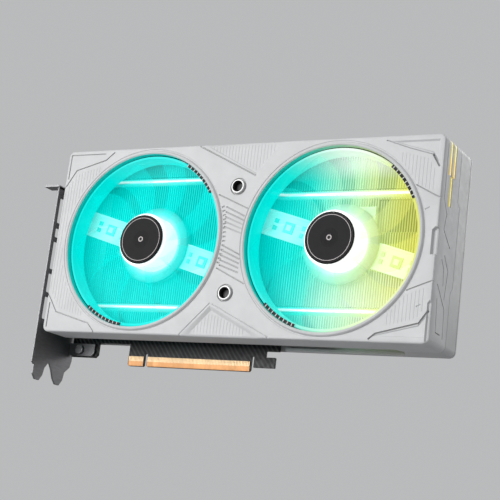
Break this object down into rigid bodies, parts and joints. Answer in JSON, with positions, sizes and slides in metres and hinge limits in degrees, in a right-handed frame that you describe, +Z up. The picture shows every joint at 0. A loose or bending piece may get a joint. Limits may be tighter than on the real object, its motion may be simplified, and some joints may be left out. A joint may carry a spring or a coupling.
{
  "type": "graphics card",
  "caption": "Two-slot graphics card with lit axial fans in a pale shroud, finned heatsink, edge connector, slot bracket and backplate.",
  "frame": {"origin": "middle of the edge connector, on its lower edge", "axes": "+Z up out of the mainboard slot, +X along the card away from the slot bracket, -Y the way the fans face"},
  "size_m": [0.2618, 0.0432, 0.1415],
  "materials": {
    "cover_plastic": "matt moulded pale grey",
    "accent_yellow": "glossy yellow",
    "fan_plastic": "translucent, lit from the hub",
    "cap_plastic": "dark satin disc",
    "shaft_steel": "ground",
    "magnet": "dark sintered",
    "bearing_brass": "turned",
    "winding_copper": "enamelled windings",
    "light_diffuser": "milky diffuser",
    "mount_plastic": "moulded white",
    "screw_steel": "plated",
    "dark_steel": "black plated",
    "fin_aluminium": "stamped sheet",
    "pipe_metal": "nickel plated",
    "base_metal": "nickel plated, ground",
    "board_laminate": "black solder mask",
    "contact_gold": "gold plated",
    "package_laminate": "laminate",
    "silicon": "polished",
    "chip_plastic": "moulded",
    "thermal_pad": "soft",
    "choke_body": "pressed ferrite",
    "socket_plastic": "moulded black",
    "backplate_metal": "painted pale grey",
    "bracket_steel": "dark nickel plated",
    "socket_shell": "drawn shell"
  },
  "bodies": {
    "card": {"accent_light": "accent_yellow", "backplate": "backplate_metal", "backplate_screw_1": "screw_steel", "backplate_screw_2": "screw_steel", "backplate_screw_3": "screw_steel", "backplate_screw_4": "screw_steel", "bracket_screw": "screw_steel", "circuit_board": "board_laminate", "cover_bracket": "dark_steel", "display_socket_1": "socket_shell", "display_socket_2": "socket_shell", "display_socket_3": "socket_shell", "end_frame": "cover_plastic", "fan_header": "socket_plastic", "fin_stack": "fin_aluminium", "front_contacts": "contact_gold", "front_shroud": "cover_plastic", "gpu_die": "silicon", "gpu_package": "package_laminate", "gpu_screw_1": "screw_steel", "gpu_screw_2": "screw_steel", "gpu_screw_3": "screw_steel", "gpu_screw_4": "screw_steel", "hdmi_socket": "socket_shell", "heat_pipe_lower": "pipe_metal", "heat_pipe_middle": "pipe_metal", "heat_pipe_upper": "pipe_metal", "heatsink_base": "base_metal", "left_fan_bearing": "bearing_brass", "left_fan_mount": "mount_plastic", "left_light_ring": "light_diffuser", "left_motor_stator": "winding_copper", "memory_chip_1": "chip_plastic", "memory_chip_2": "chip_plastic", "memory_chip_3": "chip_plastic", "memory_chip_4": "chip_plastic", "power_choke_1": "choke_body", "power_choke_2": "choke_body", "power_choke_3": "choke_body", "power_choke_4": "choke_body", "power_socket": "socket_plastic", "rear_contacts": "contact_gold", "right_fan_bearing": "bearing_brass", "right_fan_mount": "mount_plastic", "right_light_ring": "light_diffuser", "right_motor_stator": "winding_copper", "shroud_screw_lower": "dark_steel", "shroud_screw_upper": "dark_steel", "slot_bracket": "bracket_steel", "thermal_pad_left": "thermal_pad", "thermal_pad_right": "thermal_pad"},
    "left_fan": {"left_fan_rotor": "fan_plastic", "left_hub_cap": "cap_plastic", "left_fan_shaft": "shaft_steel", "left_rotor_magnet": "magnet"},
    "right_fan": {"right_fan_rotor": "fan_plastic", "right_hub_cap": "cap_plastic", "right_fan_shaft": "shaft_steel", "right_rotor_magnet": "magnet"}
  },
  "joints": [
    {"name": "left_fan_spin", "type": "hinge", "parent": "card", "child": "left_fan", "pos_m": [-0.021, -0.0363, 0.0697], "axis": [0, -1, 0], "continuous": true},
    {"name": "right_fan_spin", "type": "hinge", "parent": "card", "child": "right_fan", "pos_m": [0.1014, -0.0363, 0.0697], "axis": [0, -1, 0], "continuous": true}
  ]
}
